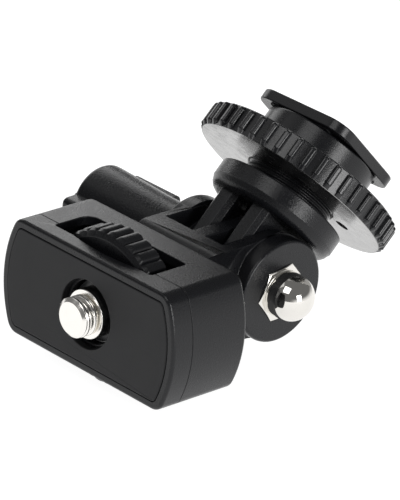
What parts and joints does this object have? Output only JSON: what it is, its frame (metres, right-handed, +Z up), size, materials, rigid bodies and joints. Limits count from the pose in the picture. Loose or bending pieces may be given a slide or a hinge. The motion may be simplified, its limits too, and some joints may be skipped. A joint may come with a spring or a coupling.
{
  "type": "hot shoe tilt mount",
  "caption": "Shoe-foot tilt mount: clamping foot and knurled ring on a hinged swivel base, and a rectangular head with a captive camera screw turned by a thumb wheel.",
  "frame": {"origin": "where the camera screw's axis crosses the face of the rubber pad", "axes": "+X along the hinge axis towards the acorn nut, +Y from the pad into the head and on to the hinge, +Z up"},
  "size_m": [0.0492, 0.0577, 0.037],
  "materials": {
    "moulded_black": "fine spark-eroded moulding grain, semi-matte black",
    "wheel_black": "satin black with rounded ridges",
    "knob_black": "coarser moulding grain, satin black",
    "pad_rubber": "matt black rubber",
    "foot_black": "satin black, hard glass-filled plastic",
    "bright_nickel": "bright nickel plate",
    "zinc_steel": "zinc-plated steel",
    "fibre_washer": "dark fibre washer",
    "spun_aluminium": "spun and satin-polished face"
  },
  "bodies": {
    "head": {"front_cover": "moulded_black", "rear_housing": "moulded_black", "rubber_pad": "pad_rubber", "cover_screws": "zinc_steel", "wheel_washer": "zinc_steel", "acorn_nut": "bright_nickel", "friction_washer_left": "fibre_washer", "friction_washer_right": "fibre_washer"},
    "wheel": {"thumb_wheel": "wheel_black", "camera_screw": "bright_nickel"},
    "knob_slider": {"knob_washer": "zinc_steel"},
    "knob": {"wing_knob": "knob_black", "tilt_stud": "zinc_steel"},
    "swivel": {"swivel_base": "moulded_black", "shoe_foot": "foot_black", "foot_screw": "zinc_steel", "foot_lock_washer": "zinc_steel", "foot_key_pin": "zinc_steel"},
    "collar": {"clamp_collar": "foot_black"},
    "ring": {"lock_ring": "moulded_black", "ring_plate": "spun_aluminium"}
  },
  "joints": [
    {"name": "wheel_spin", "type": "hinge", "parent": "head", "child": "wheel", "pos_m": [0, 0.005, 0], "axis": [0, -1, 0], "continuous": true},
    {"name": "tilt", "type": "hinge", "parent": "head", "child": "swivel", "pos_m": [0, 0.0298, 0], "axis": [1, 0, 0], "range_deg": [-135, 45]},
    {"name": "knob_travel", "type": "slide", "parent": "head", "child": "knob_slider", "axis": [1, 0, 0], "range_m": [-0.0016, 0]},
    {"name": "knob_turn", "type": "hinge", "parent": "knob_slider", "child": "knob", "pos_m": [-0.02, 0.0298, 0], "axis": [1, 0, 0], "range_deg": [-720, 0]},
    {"name": "collar_travel", "type": "slide", "parent": "swivel", "child": "collar", "axis": [0, 0.7071, 0.7071], "range_m": [-0.0019, 0]},
    {"name": "ring_turn", "type": "hinge", "parent": "collar", "child": "ring", "pos_m": [0, 0.04182, 0.01202], "axis": [0, 0.7071, 0.7071], "range_deg": [-684, 0]}
  ],
  "couplings": [
    {"joint": "knob_turn", "follows": "knob_travel", "rad_per_m": 7854},
    {"joint": "ring_turn", "follows": "collar_travel", "rad_per_m": 6283.2}
  ]
}
